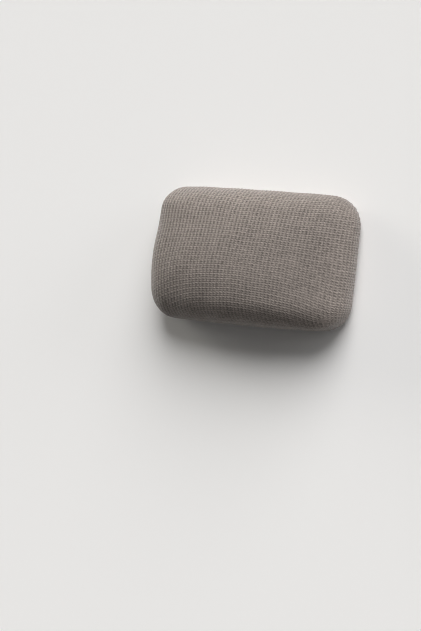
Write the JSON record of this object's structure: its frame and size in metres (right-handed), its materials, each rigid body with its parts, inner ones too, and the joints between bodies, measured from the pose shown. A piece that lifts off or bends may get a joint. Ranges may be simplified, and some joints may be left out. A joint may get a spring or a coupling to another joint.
{
  "type": "stretch sofa cushion cover, filled by its back cushion",
  "caption": "Stretch waffle knit cover for a sofa back cushion, filled: crowned face, softly rounded edges, flat back to lie or lean on.",
  "frame": {"origin": "middle of the flat back, at the bottom centre of the bounding box", "axes": "+Z out of the face, +Y towards the cushion's top edge, +X to the right of someone who looks at the face"},
  "size_m": [0.732, 0.447, 0.2043],
  "materials": {
    "waffle_knit": "matt stretch waffle knit in warm taupe grey, raised ribs and darker pits"
  },
  "bodies": {
    "root": {"cushion_cover": "waffle_knit"}
  },
  "joints": []
}
